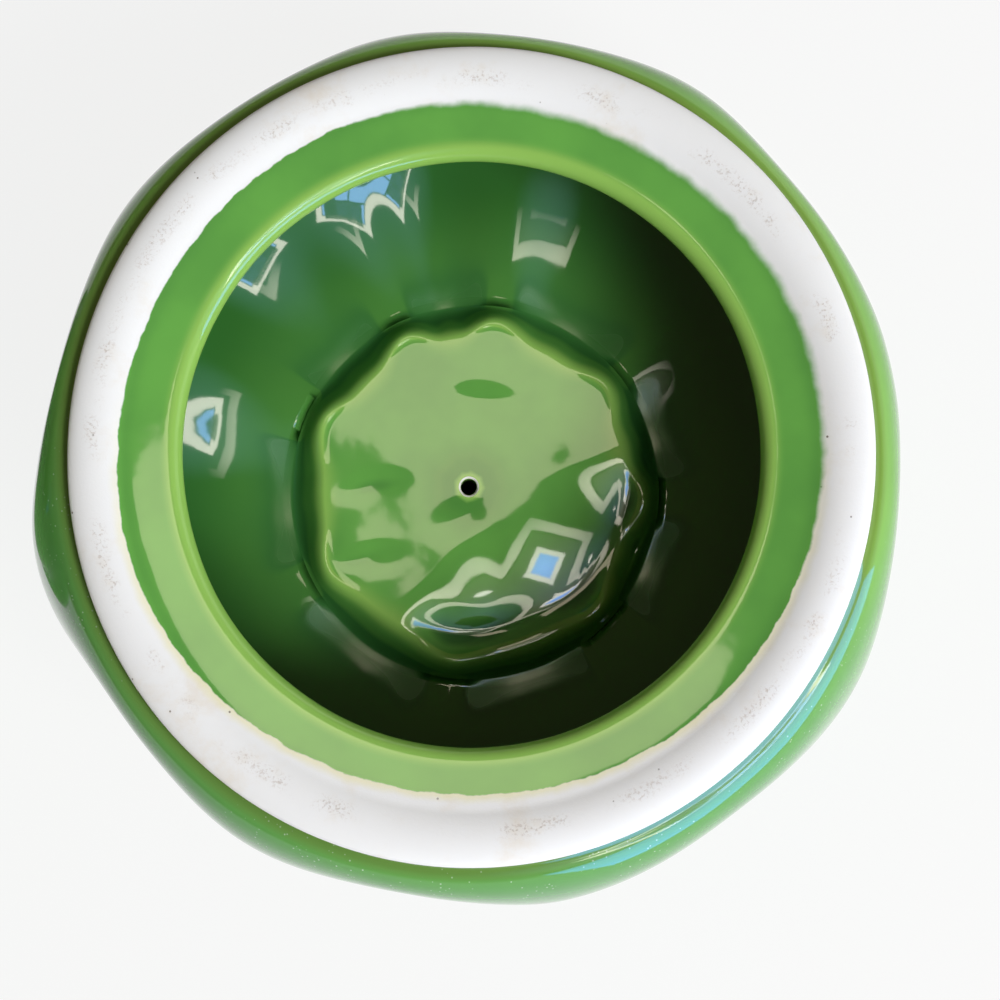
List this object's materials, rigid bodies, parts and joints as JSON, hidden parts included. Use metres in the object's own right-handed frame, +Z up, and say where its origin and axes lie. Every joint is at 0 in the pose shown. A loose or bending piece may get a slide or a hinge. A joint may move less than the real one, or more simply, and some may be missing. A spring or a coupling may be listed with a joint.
{
  "type": "cookie jar",
  "caption": "Green-glazed earthenware jar shaped as a lobed bell pepper, with a ledge in its mouth for the domed lid with stem handle that lies upturned beside it.",
  "frame": {"origin": "centre of the jar's flat foot, on the surface that the jar stands on", "axes": "+Z up along the jar's axis; +X from the jar to the lid that lies beside it"},
  "size_m": [0.4682, 0.2011, 0.168],
  "materials": {
    "jar_glaze": "glossy pepper-green glaze over white earthenware; ledge and foot left bare",
    "lid_glaze": "glossy pepper-green glaze over white earthenware; seating band wiped bare",
    "stem_glaze": "glossy yellow-green glaze over white earthenware"
  },
  "bodies": {
    "jar": {"jar_body": "jar_glaze"},
    "lid": {"lid_shell": "lid_glaze", "lid_stem": "stem_glaze"}
  },
  "joints": [
    {"name": "lid_swing", "type": "hinge", "parent": "jar", "child": "lid", "pos_m": [0.15085, 0, 0.15609], "axis": [0, -1, 0], "range_deg": [0, 204.26]}
  ]
}
